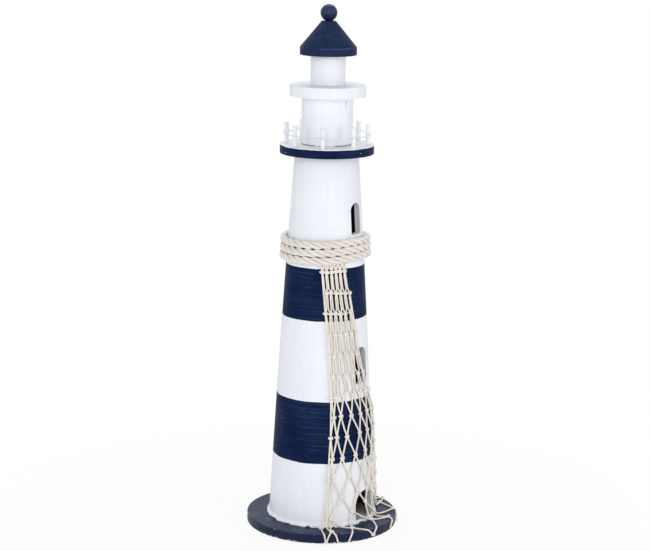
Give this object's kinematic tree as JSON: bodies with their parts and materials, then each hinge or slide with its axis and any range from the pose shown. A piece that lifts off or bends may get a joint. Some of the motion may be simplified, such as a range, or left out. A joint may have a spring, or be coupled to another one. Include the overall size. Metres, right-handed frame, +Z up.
{
  "type": "lighthouse figurine",
  "caption": "Free-standing painted wooden lighthouse ornament: hollow tapered banded tower on a round base, railed walkway, lantern and cone roof, with a rope winding and a hanging net.",
  "frame": {"origin": "centre of the underside of the base board, on the surface that the ornament stands on", "axes": "+Z up the axis of the tower, -Y out of the doorway and the two windows, +X to the right of someone facing the doorway"},
  "size_m": [0.174, 0.174, 0.6],
  "materials": {
    "navy_paint": "brushed satin navy paint",
    "white_paint": "brushed matt white paint",
    "raw_wood": "unpainted softwood",
    "screw_steel": "zinc plated",
    "rope_fibre": "natural laid rope",
    "net_twine": "natural knotted twine",
    "rail_string": "thin natural string"
  },
  "bodies": {
    "root": {"base_disc": "navy_paint", "tower_lower_navy_band": "navy_paint", "tower_upper_navy_band": "navy_paint", "gallery_disc": "navy_paint", "roof_cone": "navy_paint", "finial_ball": "navy_paint", "tower_foot_section": "white_paint", "tower_middle_section": "white_paint", "tower_top_section": "white_paint", "lantern_room": "white_paint", "canopy_disc": "white_paint", "lantern_drum": "white_paint", "railing_post_1": "white_paint", "railing_post_2": "white_paint", "railing_post_3": "white_paint", "railing_post_4": "white_paint", "railing_post_5": "white_paint", "railing_post_6": "white_paint", "railing_post_7": "white_paint", "railing_post_8": "white_paint", "tower_top_plug": "raw_wood", "gallery_dowel": "raw_wood", "canopy_dowel": "raw_wood", "roof_dowel": "raw_wood", "finial_dowel": "raw_wood", "base_screws": "screw_steel", "rope_wrap": "rope_fibre", "fishing_net": "net_twine", "rail_cord": "rail_string", "rail_cord_knot": "rail_string"}
  },
  "joints": []
}
